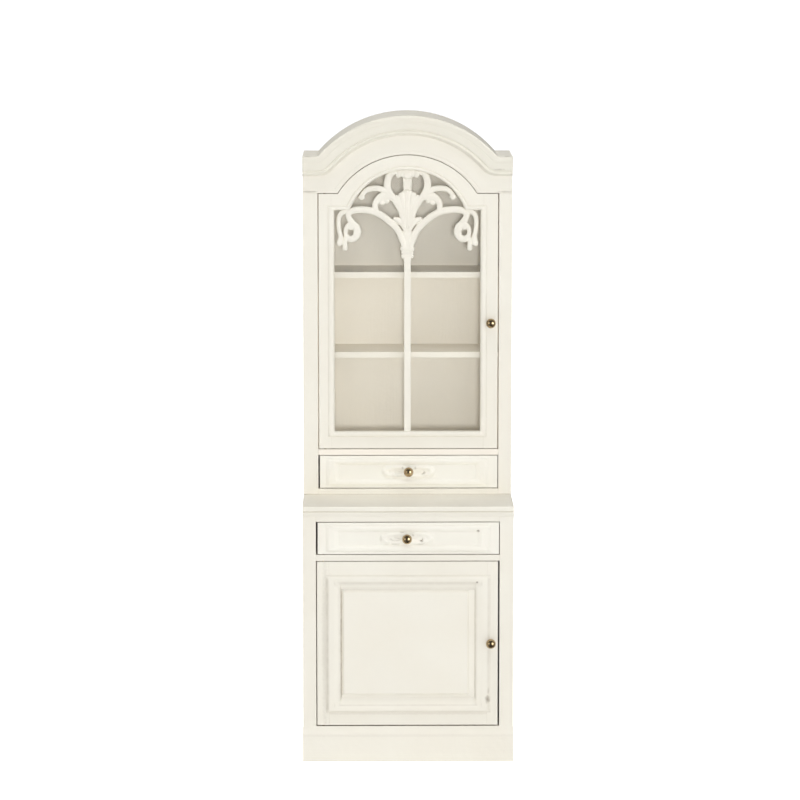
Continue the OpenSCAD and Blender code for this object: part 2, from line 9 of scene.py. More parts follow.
import bmesh
import bpy
import numpy as np
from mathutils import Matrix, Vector


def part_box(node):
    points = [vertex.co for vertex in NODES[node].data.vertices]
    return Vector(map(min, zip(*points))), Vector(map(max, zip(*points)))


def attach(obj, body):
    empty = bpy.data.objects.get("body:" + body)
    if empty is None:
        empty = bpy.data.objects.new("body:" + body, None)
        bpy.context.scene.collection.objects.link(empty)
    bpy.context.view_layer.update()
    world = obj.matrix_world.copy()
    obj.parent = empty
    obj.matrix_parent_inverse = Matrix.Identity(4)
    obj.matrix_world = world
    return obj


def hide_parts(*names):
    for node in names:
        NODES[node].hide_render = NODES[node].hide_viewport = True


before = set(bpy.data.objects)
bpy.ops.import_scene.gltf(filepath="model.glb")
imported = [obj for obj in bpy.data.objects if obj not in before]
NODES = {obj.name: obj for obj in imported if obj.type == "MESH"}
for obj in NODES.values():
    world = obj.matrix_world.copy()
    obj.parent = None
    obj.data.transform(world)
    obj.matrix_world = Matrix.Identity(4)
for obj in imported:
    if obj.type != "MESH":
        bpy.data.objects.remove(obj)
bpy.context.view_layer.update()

MM = 0.001


def mm(*values):
    """Millimetres to a vector in metres."""
    return Vector(values) * MM


# ---- places that come from the frame ----

BASE_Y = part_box("base_side_left")[0].y / MM
HUTCH_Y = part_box("hutch_side_left")[0].y / MM


# ---- materials ----
# Colours are linear RGB. The names that end in DEEP are for where the paint has pooled.

IVORY = (0.86, 0.829, 0.739)
IVORY_DEEP = (0.822, 0.767, 0.655)
# The inside's paint is lighter than the outside's as painted light, for the glazed space's boards and shelves
INSIDE_PAINTED_LIGHT = (0.925, 0.868, 0.772)
INSIDE_PAINTED_LIGHT_DEEP = (0.895, 0.826, 0.712)
DRAWER_PALE = (0.905, 0.882, 0.80)
# The cornice's paint is darker than the rest as painted shade on its fascia
CORNICE_PAINTED_SHADE = (0.825, 0.797, 0.70)
# Painted shade: the colour that creases and gaps darken to where ambient occlusion finds them closed in
PAINTED_CREVICE_SHADE = (0.50, 0.43, 0.33)
# Dark colour of the marks: real blemishes and joints, and painted shade
STAIN_AND_SHADE = (0.26, 0.21, 0.15)
WOOD_DARK = (0.66, 0.49, 0.30)
WOOD_PALE = (0.80, 0.64, 0.43)
BRASS_BRIGHT = (0.60, 0.45, 0.26)
BRASS_TARNISHED = (0.36, 0.26, 0.145)

# Noise scales, in features per metre. Grain is stretched: across it, then along it.
BRUSH_MARKS = (1700, 90)
LUMPS = 520
GRIT = 4200
CLOUDS = 55
RAGGED_EDGES = 1600
WOOD_GRAIN = (1500, 35)
WOOD_PORES = (6000, 300)
TARNISH = 900
PANE_RIPPLE = 70
FLOOR_TONE = 3

NOISE_RANGE = (0.3, 0.7)  # where most of a noise's values lie
PAINT_ROUGHNESS = (0.38, 0.52)
BRASS_ROUGHNESS = (0.16, 0.25)
WOOD_ROUGHNESS = 0.7
POOLED_MOST = 0.35
BRUSH_SHARE = 0.55  # heights of brush marks and grit beside the lumps
GRIT_SHARE = 0.10
MARK_EDGE, MARK_CORE = 1.15, 0.35  # where a mark starts and is full, in shares of its half sizes
OPEN, CLOSED_IN = 0.62, 0.25  # ambient occlusion where the painted crevice shade starts and is full
PAINTED_CREVICE_SHADE_REACH = 0.7 * MM
PAINT_RELIEF = 0.12 * MM
WOOD_RELIEF = 0.05 * MM
PANE_RELIEF = 0.2 * MM
PANE_HAZE = 0.045
PANE_GLOSS_IOR = 1.25


def new_material(name):
    material = bpy.data.materials.new(name)
    material.use_nodes = True
    tree = material.node_tree
    tree.nodes.clear()
    output = tree.nodes.new("ShaderNodeOutputMaterial")
    return material, tree, output


def add(tree, kind, **sockets):
    """A node with some of its inputs set: a value is set on the socket, a socket is linked to it."""
    made = tree.nodes.new(kind)
    for name, value in sockets.items():
        socket = made.inputs[name.replace("_", " ")]
        if isinstance(value, bpy.types.NodeSocket):
            tree.links.new(value, socket)
        else:
            socket.default_value = value
    return made


def object_coords(tree):
    return tree.nodes.new("ShaderNodeTexCoord").outputs["Object"]


def noise_at(tree, coords, scale, detail=2.0):
    """Noise with a number of features per metre: one for all directions, or three for x, y and z."""
    along_axes = scale if isinstance(scale, tuple) else (scale,) * 3
    mapping = add(tree, "ShaderNodeMapping", Vector=coords, Scale=along_axes)
    return add(tree, "ShaderNodeTexNoise", Vector=mapping.outputs["Vector"], Scale=1.0,
               Detail=detail, Roughness=0.5).outputs["Fac"]


def spread(tree, value, low, high, to_low=0.0, to_high=1.0):
    """Maps low to to_low and high to to_high, and clamps the rest."""
    ranged = add(tree, "ShaderNodeMapRange", Value=value)
    for name, number in zip(("From Min", "From Max", "To Min", "To Max"), (low, high, to_low, to_high)):
        ranged.inputs[name].default_value = number
    return ranged.outputs["Result"]


def math_node(tree, operation, a, b):
    made = tree.nodes.new("ShaderNodeMath")
    made.operation = operation
    for socket, value in zip(made.inputs, (a, b)):
        if isinstance(value, bpy.types.NodeSocket):
            tree.links.new(value, socket)
        else:
            socket.default_value = value
    return made.outputs[0]


def mix_colour(tree, factor, a, b):
    made = tree.nodes.new("ShaderNodeMix")
    made.data_type = "RGBA"
    for socket, value in ((made.inputs["Factor"], factor), (made.inputs["A"], a), (made.inputs["B"], b)):
        if isinstance(value, bpy.types.NodeSocket):
            tree.links.new(value, socket)
        else:
            socket.default_value = value if isinstance(value, float) else (*value, 1.0)
    return made.outputs["Result"]


def mix_shaders(tree, factor, first, second):
    """Mixes two shader nodes. The factor is a number or a socket."""
    made = tree.nodes.new("ShaderNodeMixShader")
    if isinstance(factor, float):
        made.inputs[0].default_value = factor
    else:
        tree.links.new(factor, made.inputs[0])
    tree.links.new(first.outputs[0], made.inputs[1])
    tree.links.new(second.outputs[0], made.inputs[2])
    return made


def stretched(grain, scales):
    """Noise scales for x, y and z, from the scales across the grain and along it."""
    across, along = scales
    return tuple(along if axis == grain else across for axis in "xyz")


def marked(tree, colour, coords, marks):
    """Small dark marks seen from the front, blemishes and painted shade: rows of (x, z, half width, half
    height, strength).
    """
    ragged = noise_at(tree, coords, RAGGED_EDGES)
    for x, z, wide, tall, strength in marks:
        centred = add(tree, "ShaderNodeMapping", Vector=coords, Location=(-x / wide, 0, -z / tall),
                      Scale=(1 / (wide * MM), 0, 1 / (tall * MM)))
        away = tree.nodes.new("ShaderNodeVectorMath")
        away.operation = "LENGTH"
        tree.links.new(centred.outputs["Vector"], away.inputs[0])
        distance = math_node(tree, "ADD", away.outputs["Value"], math_node(tree, "SUBTRACT", ragged, 0.5))
        colour = mix_colour(tree, spread(tree, distance, MARK_EDGE, MARK_CORE, 0.0, strength), colour, STAIN_AND_SHADE)
    return colour


def paint(name, grain, pale=IVORY, deep=IVORY_DEEP, crevice_shade=True, marks=(), with_moulding_shade=False):
    """Thick satin paint with brush marks along the grain, small lumps and a little pooling.

    crevice_shade paints shade where surfaces close in, marks adds dark marks (blemishes, joints and painted
    shade), and with_moulding_shade adds the painted shade along the door moulding's edges that
    store_moulding_shade stored on the mesh.
    """
    material, tree, output = new_material(name)
    coords = object_coords(tree)
    brush = noise_at(tree, coords, stretched(grain, BRUSH_MARKS), detail=3.0)
    lumps = noise_at(tree, coords, LUMPS)
    grit = noise_at(tree, coords, GRIT, detail=1.0)
    cloud = noise_at(tree, coords, CLOUDS, detail=3.0)
    colour = mix_colour(tree, spread(tree, cloud, 0.35, 0.75, 0.0, POOLED_MOST), pale, deep)
    # Painted shade in creases and gaps, where ambient occlusion finds the surface closed in
    if crevice_shade:
        closed_in = tree.nodes.new("ShaderNodeAmbientOcclusion")
        closed_in.samples = 8
        closed_in.inputs["Distance"].default_value = PAINTED_CREVICE_SHADE_REACH
        colour = mix_colour(tree, spread(tree, closed_in.outputs["AO"], OPEN, CLOSED_IN), colour, PAINTED_CREVICE_SHADE)
    # Painted shade stored on the mesh: dark lines along the door moulding's edges
    if with_moulding_shade:
        painted_moulding_shade = tree.nodes.new("ShaderNodeAttribute")
        painted_moulding_shade.attribute_name = "painted_moulding_shade"
        share = math_node(tree, "MULTIPLY", painted_moulding_shade.outputs["Fac"], spread(tree, lumps, *NOISE_RANGE, 0.75, 1.2))
        colour = mix_colour(tree, share, colour, STAIN_AND_SHADE)
    if marks:
        colour = marked(tree, colour, coords, marks)
    shader = add(tree, "ShaderNodeBsdfPrincipled", Base_Color=colour,
                 Roughness=spread(tree, lumps, *NOISE_RANGE, *PAINT_ROUGHNESS))
    height = math_node(tree, "ADD", math_node(tree, "MULTIPLY", brush, BRUSH_SHARE), lumps)
    height = math_node(tree, "ADD", height, math_node(tree, "MULTIPLY", grit, GRIT_SHARE))
    bump = add(tree, "ShaderNodeBump", Height=height, Strength=0.5, Distance=PAINT_RELIEF)
    tree.links.new(bump.outputs["Normal"], shader.inputs["Normal"])
    tree.links.new(shader.outputs[0], output.inputs[0])
    return material


def bare_wood():
    """Unpainted pale basswood with fine straight grain along Y."""
    material, tree, output = new_material("bare_basswood")
    coords = object_coords(tree)
    grain = noise_at(tree, coords, stretched("y", WOOD_GRAIN), detail=4.0)
    pores = noise_at(tree, coords, stretched("y", WOOD_PORES))
    colour = mix_colour(tree, spread(tree, grain, *NOISE_RANGE), WOOD_DARK, WOOD_PALE)
    shader = add(tree, "ShaderNodeBsdfPrincipled", Base_Color=colour, Roughness=WOOD_ROUGHNESS)
    bump = add(tree, "ShaderNodeBump", Height=pores, Strength=0.4, Distance=WOOD_RELIEF)
    tree.links.new(bump.outputs["Normal"], shader.inputs["Normal"])
    tree.links.new(shader.outputs[0], output.inputs[0])
    return material


def brass():
    """Turned brass, polished but slightly tarnished."""
    material, tree, output = new_material("turned_brass")
    tarnish = noise_at(tree, object_coords(tree), TARNISH, detail=3.0)
    colour = mix_colour(tree, spread(tree, tarnish, 0.35, 0.7), BRASS_BRIGHT, BRASS_TARNISHED)
    shader = add(tree, "ShaderNodeBsdfPrincipled", Base_Color=colour, Metallic=1.0,
                 Roughness=spread(tree, tarnish, *NOISE_RANGE, *BRASS_ROUGHNESS))
    tree.links.new(shader.outputs[0], output.inputs[0])
    return material


def clear_pane():
    """A thin clear sheet with a faint haze. Light passes straight through, and gloss is where it enters."""
    material, tree, output = new_material("clear_acrylic")
    ripple = noise_at(tree, object_coords(tree), PANE_RIPPLE, detail=1.0)
    bump = add(tree, "ShaderNodeBump", Height=ripple, Strength=0.2, Distance=PANE_RELIEF)
    through = add(tree, "ShaderNodeBsdfTransparent", Color=(0.995, 1.0, 0.995, 1.0))
    haze = add(tree, "ShaderNodeBsdfDiffuse", Color=(0.9, 0.89, 0.86, 1.0))
    gloss = add(tree, "ShaderNodeBsdfGlossy", Roughness=0.04, Normal=bump.outputs["Normal"])
    fresnel = add(tree, "ShaderNodeFresnel", IOR=PANE_GLOSS_IOR)
    entered = mix_shaders(tree, fresnel.outputs[0], mix_shaders(tree, PANE_HAZE, through, haze), gloss)
    backfacing = tree.nodes.new("ShaderNodeNewGeometry").outputs["Backfacing"]
    sheet = mix_shaders(tree, backfacing, entered, through)
    tree.links.new(sheet.outputs[0], output.inputs[0])
    return material


PAINT = {grain: paint("ivory_paint_grain_" + grain, grain) for grain in "xyz"}
# Lighter paint for the inside, as painted light, with no painted crevice shade
INSIDE_PAINTED_LIGHT_PAINT = {grain: paint("inside_painted_light_grain_" + grain, grain, INSIDE_PAINTED_LIGHT, INSIDE_PAINTED_LIGHT_DEEP, crevice_shade=False)
                for grain in "xz"}
DRAWER_PAINT = paint("drawer_paint_grain_x", "x", DRAWER_PALE)
WOOD = bare_wood()
BRASS = brass()
PANE = clear_pane()

# Boards with a faint dark line where they meet their neighbour or across the plinth, and boards with painted
# shade under and beside the lower door's moulding
BOARD_MARKS_AND_SHADE = {
    "plinth_front": [(0, 7.6, 60, 0.5, 0.06)],
    # painted shadow under the lower door's moulding
    "lower_door_rail_bottom": [(0, 14.0, 60, 0.45, 0.12)],
    # painted shade along the outer left edge of the lower door's moulding
    "lower_door_stile_left": [(-23.7, 34.2, 0.9, 28, 0.2)],
    "head_board": [(-28.0, 161.7, 2.6, 0.3, 0.45), (28.0, 161.7, 2.6, 0.3, 0.35)],
}
# Boards that stand partly in the glazed space: the faces turned this way get the lighter inside paint, which
# is painted light
INNER_FACES = {
    "hutch_side_left": (1, 0, 0),
    "hutch_side_right": (-1, 0, 0),
    "roof_skin": (0, 0, -1),
    "head_board": (0, 1, 0),
    "hutch_back": (0, -1, 0),
}
# Widths of softened edges in millimetres: most boards, the ones that differ, and bare wood
SOFT_EDGE = 0.07
SOFT_EDGES = {"head_board": 0.2, "hutch_side_left": 0.12, "hutch_side_right": 0.12, "plinth_front": 0.12}
WOOD_EDGE = 0.08
FLAT_WITHIN = 1  # degrees between faces that count as one flat face
SHARP_FROM = 32  # degrees between faces whose edge is softened
# The boards of each drawer's box, which are bare wood
DRAWER_BOX = ("side_left", "side_right", "back", "bottom")


def marked_paint(name, grains, marks, pale=IVORY, with_moulding_shade=False):
    """One painted material with these marks for each grain direction in grains."""
    return [paint(name + "_paint_grain_" + grain, grain, pale, marks=marks, with_moulding_shade=with_moulding_shade) for grain in grains]


def finish_node(node, material, edge=SOFT_EDGE):
    """Gives a CAD node its material and edges softened by paint, edge millimetres wide."""
    piece = NODES[node]
    piece.data.materials.clear()
    piece.data.materials.append(material)
    for polygon in piece.data.polygons:
        polygon.use_smooth = True
    weld = piece.modifiers.new("weld", "WELD")
    weld.merge_threshold = MM / 1000
    flat = piece.modifiers.new("flat", "DECIMATE")
    flat.decimate_type = "DISSOLVE"
    flat.angle_limit = math.radians(FLAT_WITHIN)
    if edge:
        bevel = piece.modifiers.new("soft_edges", "BEVEL")
        bevel.width = edge * MM
        bevel.segments = 3
        bevel.limit_method = "ANGLE"
        bevel.angle_limit = math.radians(SHARP_FROM)
        bevel.harden_normals = True
    normals = piece.modifiers.new("normals", "WEIGHTED_NORMAL")
    normals.keep_sharp = True


def grain_of(node):
    """The axis along a board's longest side."""
    low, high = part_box(node)
    size = high - low
    return "xyz"[max(range(3), key=lambda i: size[i])]


def finish_cad_nodes():
    for node in NODES:
        if node.endswith("_pins") or node.endswith("_knob"):
            finish_node(node, BRASS, edge=0)
        elif node.endswith("_pane"):
            finish_node(node, PANE, edge=0)
        elif node.split("_drawer_")[-1] in DRAWER_BOX:
            finish_node(node, WOOD, edge=WOOD_EDGE)
        elif node.endswith("_drawer_front"):
            finish_node(node, DRAWER_PAINT)
        # The display floor and the shelves get the lighter inside paint, which is painted light
        elif node in ("display_floor", "shelf_lower", "shelf_upper"):
            finish_node(node, INSIDE_PAINTED_LIGHT_PAINT[grain_of(node)])
        else:
            material = PAINT[grain_of(node)]
            if node in BOARD_MARKS_AND_SHADE:
                material, = marked_paint(node, grain_of(node), BOARD_MARKS_AND_SHADE[node])
            finish_node(node, material, SOFT_EDGES.get(node, SOFT_EDGE))
    for node, inward in INNER_FACES.items():
        mesh = NODES[node].data
        mesh.materials.append(INSIDE_PAINTED_LIGHT_PAINT["z"])
        for polygon in mesh.polygons:
            polygon.material_index = int(polygon.normal.dot(Vector(inward)) > 0.5)


finish_cad_nodes()


# ---- shapes that replace CAD nodes with finer ones ----
# Outlines are in millimetres. How far out a profile stands is measured toward the front, against y.


WAVES = 7
USUAL_PEAK = 4  # about the highest that this many waves add up to
FULL_TURN = 6.28
COINCIDENT = 2e-7  # metres within which two points are one


def wobble(points, seed, amount):
    """Slow unevenness of hand-laid paint: a few sine waves through the points, in millimetres."""
    random = np.random.default_rng(seed)
    total = np.zeros(len(points))
    for _ in range(WAVES):
        direction = random.normal(size=3) * random.uniform(0.5, 2.2)
        total += np.sin(points @ direction + random.uniform(0, FULL_TURN))
    return total * amount / USUAL_PEAK


def mesh_from(name, points, faces):
    """A smooth-shaded mesh from points in millimetres."""
    mesh = bpy.data.meshes.new(name)
    mesh.from_pydata((np.asarray(points, dtype=float) * MM).tolist(), [], faces)
    mesh.validate()
    mesh.update()
    for polygon in mesh.polygons:
        polygon.use_smooth = True
    return mesh


def fix_normals(mesh):
    """Joins points that coincide and turns every face outward."""
    editable = bmesh.new()
    editable.from_mesh(mesh)
    bmesh.ops.remove_doubles(editable, verts=editable.verts, dist=COINCIDENT)
    bmesh.ops.recalc_face_normals(editable, faces=editable.faces)
    editable.to_mesh(mesh)
    editable.free()


def place(name, mesh, body, nodes, slot, *materials):
    """Makes the object for a mesh, rides it on its body and lets it stand in for the CAD nodes."""
    fix_normals(mesh)
    piece = bpy.data.objects.new(name, mesh)
    bpy.context.scene.collection.objects.link(piece)
    for material in materials:
        mesh.materials.append(material)
    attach(piece, body)
    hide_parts(*([nodes] if isinstance(nodes, str) else nodes))
    return piece


def strip_faces(rows, count):
    """Faces of a moulding with two ends: quads from each row of count points to the next and round to the
    first, then the ends.
    """
    faces = []
    for i in range(rows):
        a, b = i * count, ((i + 1) % rows) * count
        faces += [(a + j, a + j + 1, b + j + 1, b + j) for j in range(count - 1)]
    faces.append(tuple(i * count for i in range(rows)))
    faces.append(tuple(i * count + count - 1 for i in range(rows)))
    return faces


def ring_faces(rings, count):
    """Quads between successive closed rings of count points, and between the last ring and the first."""
    faces = []
    for i in range(rings):
        a, b = i * count, ((i + 1) % rings) * count
        for j in range(count):
            k = (j + 1) % count
            faces.append((a + j, a + k, b + k, b + j))
    return faces


def rectangle(x0, x1, z0, z1, counts):
    """A closed outline with a fixed number of points on each side, so that rings of it match up."""
    corners = [(x0, z0), (x1, z0), (x1, z1), (x0, z1)]
    points = []
    for i, n in enumerate(counts):
        a, b = np.array(corners[i], float), np.array(corners[(i + 1) % 4], float)
        points += [a + (b - a) * j / n for j in range(n)]
    return np.array(points)


def smooth_profile(knots, n):
    """Interpolates rows of knots (s, values...) at n even places of s and rounds off the corners."""
    knots = np.array(knots, float)
    s = np.linspace(knots[0, 0], knots[-1, 0], n)
    columns = [s] + [np.interp(s, knots[:, 0], knots[:, c]) for c in range(1, knots.shape[1])]
    kernel = np.array([1, 2, 3, 2, 1]) / 9
    for c in range(1, len(columns)):
        padded = np.pad(columns[c], 2, mode="edge")
        columns[c] = np.convolve(padded, kernel, mode="valid")
    return np.array(columns).T


def framed_mesh(name, rings, seed, sides_of, unevenness=0.02):
    """A frame from rings of (outline points, y), made a little uneven in y.

    sides_of gives the material index of a face from its centre in millimetres.
    """
    points = []
    for outline, y in rings:
        points += [(x, y, z) for x, z in outline]
    points = np.array(points)
    points[:, 1] += wobble(points, seed, unevenness)
    mesh = mesh_from(name, points, ring_faces(len(rings), len(rings[0][0])))
    for polygon in mesh.polygons:
        polygon.material_index = sides_of(polygon.center / MM)
    return mesh


# ---- lower door moulding ----

# The moulding's widths in mm at the sides, and at the top and bottom: a bead, then a slope inside it
DOOR_BEAD = (4.2, 2.3)
DOOR_SLOPE = (0.4, 2.0)
# How much painted shade lies on it at each distance in mm from its outer edge, on each side: dark lines along
# its edges, darkest at the left side's inner edge
DOOR_PAINTED_SHADE = {
    "left": [(0, 0.12), (0.45, 0.3), (1.0, 0.05), (1.4, 0), (3.4, 0), (4.1, 0.18), (4.35, 0.4), (4.6, 0.65)],
    "right": [(0, 0.04), (0.6, 0.14), (1.2, 0), (3.6, 0), (4.2, 0.12), (4.6, 0.25)],
    "top": [(0, 0.12), (0.4, 0.05), (0.7, 0), (1.7, 0), (2.2, 0.16), (2.5, 0.1), (3.2, 0), (4.1, 0.1)],
    "bottom": [(0, 0.1), (0.4, 0.05), (0.8, 0), (1.9, 0), (2.2, 0.17), (2.5, 0), (4.1, 0.06)],
}


def store_moulding_shade(mesh, low, high):
    """Stores the moulding's painted shade at the mesh's points as the attribute that the paint reads."""
    layer = mesh.attributes.new("painted_moulding_shade", "FLOAT", "POINT")
    for spot, vertex in zip(layer.data, mesh.vertices):
        at = vertex.co / MM
        across, along = min(at.x - low.x, high.x - at.x), min(at.z - low.z, high.z - at.z)
        if across / (DOOR_BEAD[0] + DOOR_SLOPE[0]) < along / (DOOR_BEAD[1] + DOOR_SLOPE[1]):
            side, inward = ("left" if at.x < 0 else "right"), across
        else:
            side, inward = ("bottom" if at.z < (low.z + high.z) / 2 else "top"), along
        spot.value = np.interp(inward, *zip(*DOOR_PAINTED_SHADE[side]))


def lower_door_moulding():
    """A broad bead with a hollow at its outer foot, then a slope down to the panel."""
    low, high = (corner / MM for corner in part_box("lower_door_moulding"))
    bead = smooth_profile([(0, 0.02), (0.03, 0.2), (0.08, 0.24), (0.11, 0.32), (0.18, 0.62), (0.26, 0.75),
                           (0.4, 0.8), (0.58, 0.79), (0.7, 0.72), (0.82, 0.6), (0.93, 0.44), (1.0, 0.32)], 44)
    slope = smooth_profile([(0, 0.3), (0.15, 0.12), (0.5, -0.08), (0.85, -0.22), (1.0, -0.29)], 12)[1:]
    counts = (46, 40, 46, 40)
    back = BASE_Y + 0.3
    rebate = 1.0
    mitre_x, mitre_z = 4.4, 4.1

    def outline(dx, dz):
        return rectangle(low.x + dx, high.x - dx, low.z + dz, high.z - dz, counts)

    rings = [(outline(DOOR_BEAD[0] * s, DOOR_BEAD[1] * s), BASE_Y - h) for s, h in bead]
    rings += [(outline(DOOR_BEAD[0] + DOOR_SLOPE[0] * s, DOOR_BEAD[1] + DOOR_SLOPE[1] * s), BASE_Y - h)
              for s, h in slope]
    rings.append((outline(DOOR_BEAD[0] + DOOR_SLOPE[0], DOOR_BEAD[1] + DOOR_SLOPE[1]), back))
    rings.append((outline(rebate, rebate), back))
    rings.append((outline(rebate, rebate), BASE_Y))
    rings.append((outline(0, 0), BASE_Y))

    def side(centre):
        dx = abs(centre.x) - (high.x - mitre_x)
        dz = max(low.z + mitre_z - centre.z, centre.z - (high.z - mitre_z))
        return 1 if dx / mitre_x > dz / mitre_z else 0

    mesh = framed_mesh("lower_door_moulding_mesh", rings, 11, side)
    # Painted shade along the moulding's edges
    store_moulding_shade(mesh, low, high)
    marks = [(22.65, 18.2, 0.75, 1.2, 0.7), (22.9, 20.6, 0.35, 1.0, 0.25), (19.6, 52.2, 0.35, 0.35, 0.7)]
    place("lower_door_moulding_painted", mesh, "lower_door", "lower_door_moulding", "ivory_paint",
          *marked_paint("door_moulding", "xz", marks, with_moulding_shade=True))


# ---- drawer mouldings ----

DRAWER_MARKS = {
    "lower_drawer": [(19.8, 66.95, 0.5, 0.45, 0.75)],
    "upper_drawer": [(17.2, 82.6, 0.3, 0.25, 0.3)],
}


def drawer_moulding(drawer, seed):
    """Flat-topped frame with a softened outer edge and a hollow falling to the sunk field."""
    node = drawer + "_moulding"
    low, high = (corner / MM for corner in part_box(node))
    face = BASE_Y if drawer == "lower_drawer" else HUTCH_Y
    sunk = face + 0.02
    wide, tall = 3.7, 2.0
    proud = smooth_profile([(0, 0.02), (0.03, 0.1), (0.08, 0.15), (0.2, 0.47), (0.3, 0.53), (0.5, 0.55),
                            (0.66, 0.5), (0.76, 0.36), (0.86, 0.2), (0.93, 0.12), (0.96, 0.02),
                            (1.0, -0.01)], 40)
    counts = (48, 12, 48, 12)
    rings = []
    for s, h in proud:
        outline = rectangle(low.x + wide * s, high.x - wide * s, low.z + tall * s, high.z - tall * s, counts)
        rings.append((outline, face - h))
    rings[-1] = (rings[-1][0], sunk)
    rings.append((rings[0][0], sunk))

    def side(centre):
        dx = abs(centre.x) - (high.x - wide)
        dz = abs(centre.z - (low.z + high.z) / 2) - ((high.z - low.z) / 2 - tall)
        return 1 if dx / wide > dz / tall else 0

    mesh = framed_mesh(node + "_mesh", rings, seed, side, unevenness=0.018)
    place(node + "_painted", mesh, drawer, node, "ivory_paint",
          *marked_paint(node, "xz", DRAWER_MARKS[drawer], DRAWER_PALE))


# ---- glazing bead round the pane ----

def bead_outline(half_x, bottom, shoulder, radius, centre_z):
    """Along the bottom, up to the shoulders, in along them, and over in an arch."""
    meet = math.asin((shoulder - centre_z) / radius)
    meet_x = radius * math.cos(meet)
    along_bottom, up_side, along_shoulder, over_arch = 40, 70, 4, 72

    def straight(*stops):
        """Points from the first corner on, each later corner given with the number of points up to it."""
        start = np.array(stops[0], float)
        for corner, n in stops[1:]:
            end = np.array(corner, float)
            for j in range(n):
                points.append(start + (end - start) * j / n)
            start = end

    points = []
    straight((-half_x, bottom), ((half_x, bottom), along_bottom), ((half_x, shoulder), up_side),
             ((meet_x, shoulder), along_shoulder))
    for j in range(over_arch):
        angle = meet + (math.pi - 2 * meet) * j / over_arch
        points.append(np.array((radius * math.cos(angle), centre_z + radius * math.sin(angle))))
    straight((-meet_x, shoulder), ((-half_x, shoulder), along_shoulder), ((-half_x, bottom), up_side))
    return np.array(points)


def glazing_bead():
    """A half-round bead whose inner part goes back to the pane."""
    outer = bead_outline(half_x=22.8, bottom=90.9, shoulder=157.7, radius=19.0, centre_z=150.0)
    seat = bead_outline(half_x=21.85, bottom=91.7, shoulder=157.05, radius=18.3, centre_z=150.15)
    inner = bead_outline(half_x=20.9, bottom=92.5, shoulder=156.4, radius=17.6, centre_z=150.3)
    pane_y = HUTCH_Y + 1.7
    proud = smooth_profile([(0, 0.02), (0.05, 0.2), (0.2, 0.46), (0.42, 0.6), (0.66, 0.56), (0.84, 0.36),
                            (0.93, 0.1), (1.0, -0.15)], 26)
    rings = [(outer + (inner - outer) * s, HUTCH_Y - h) for s, h in proud]
    rings.append((inner, pane_y))
    rings.append((seat, pane_y))
    rings.append((seat, HUTCH_Y))
    rings.append((outer, HUTCH_Y))

    def side(centre):
        """The two uprights have upright grain."""
        return 1 if abs(centre.x) > 19.5 and 93 < centre.z < 157 else 0

    mesh = framed_mesh("bead_mesh", rings, 23, side, unevenness=0.016)
    place("upper_door_bead_painted", mesh, "upper_door", "upper_door_bead", "ivory_paint",
          PAINT["x"], PAINT["z"])


# ---- cornice ----

CROWN_R = 33.9
CROWN_Z = 149.7
SHOULDER_Z = 171.9


def cornice_outline(d, half_x):
    """The line at d below the cornice's top edge: along the shoulders and over the arch.

    The lower a line lies, the more the corners where shoulder and arch meet are rounded.
    """
    shoulder, radius = SHOULDER_Z - d, CROWN_R - d
    meet_x = math.sqrt(radius ** 2 - (shoulder - CROWN_Z) ** 2)
    meet = math.acos(meet_x / radius)
    left = [(-half_x + (half_x - meet_x) * t, shoulder) for t in np.linspace(0, 1, 14, endpoint=False)]
    arch = [(radius * math.cos(a), CROWN_Z + radius * math.sin(a))
            for a in np.linspace(math.pi - meet, meet, 120)]
    right = [(-x, z) for x, z in reversed(left)]
    line = np.array(left + arch + right)
    for _ in range(int(3 + 5 * d)):
        line[1:-1] = (line[:-2] + 2 * line[1:-1] + line[2:]) / 4
    return line


def cornice():
    """Plain fascia that leans out a little, a faint line along it, a bead and a hollow below."""
    # rows of how far below the top edge, and how far out
    section = [(0.1, 0.05), (0.0, 0.3), (0.0, 2.66), (0.05, 2.78), (0.12, 2.8), (0.2, 2.72), (0.28, 2.78),
               (0.38, 2.87), (0.55, 2.88), (1.0, 2.78), (1.6, 2.66), (1.78, 2.58), (1.88, 2.48), (1.98, 2.47),
               (2.15, 2.48), (2.9, 2.3), (3.6, 2.14), (3.94, 2.05), (4.04, 1.94), (4.12, 1.75), (4.22, 1.6),
               (4.33, 1.6), (4.46, 1.7), (4.62, 1.8), (4.86, 1.83), (5.04, 1.74), (5.18, 1.48), (5.27, 1.16),
               (5.34, 0.84), (5.42, 0.6), (5.52, 0.44), (5.64, 0.3), (5.74, 0.12), (5.78, 0.0), (2.0, 0.0),
               (0.1, 0.0)]
    half_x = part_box("cornice_shoulder_right")[1].x / MM
    lines = [cornice_outline(d, half_x) for d, _ in section]
    points = np.array([(x, HUTCH_Y - out, z) for line, (_, out) in zip(lines, section) for x, z in line])
    front = points[:, 1] < HUTCH_Y - 0.3
    points[:, 1] += np.where(front, wobble(points, 31, 0.03), 0) + np.where(front, 0.03, 0)
    mesh = mesh_from("cornice_mesh", points, strip_faces(len(section), len(lines[0])))
    marks = [(28.4, 172.1, 1.0, 0.4, 0.4), (26.2, 168.2, 1.5, 0.3, 0.3), (-28.4, 172.0, 1.2, 0.3, 0.25)]
    nodes = ("cornice_arch", "cornice_shoulder_left", "cornice_shoulder_right")
    # The cornice's darker paint is painted shade
    place("cornice_painted", mesh, "cabinet", nodes, "ivory_paint",
          *marked_paint("cornice", "x", marks, CORNICE_PAINTED_SHADE))


# ---- bead under the waist board ----

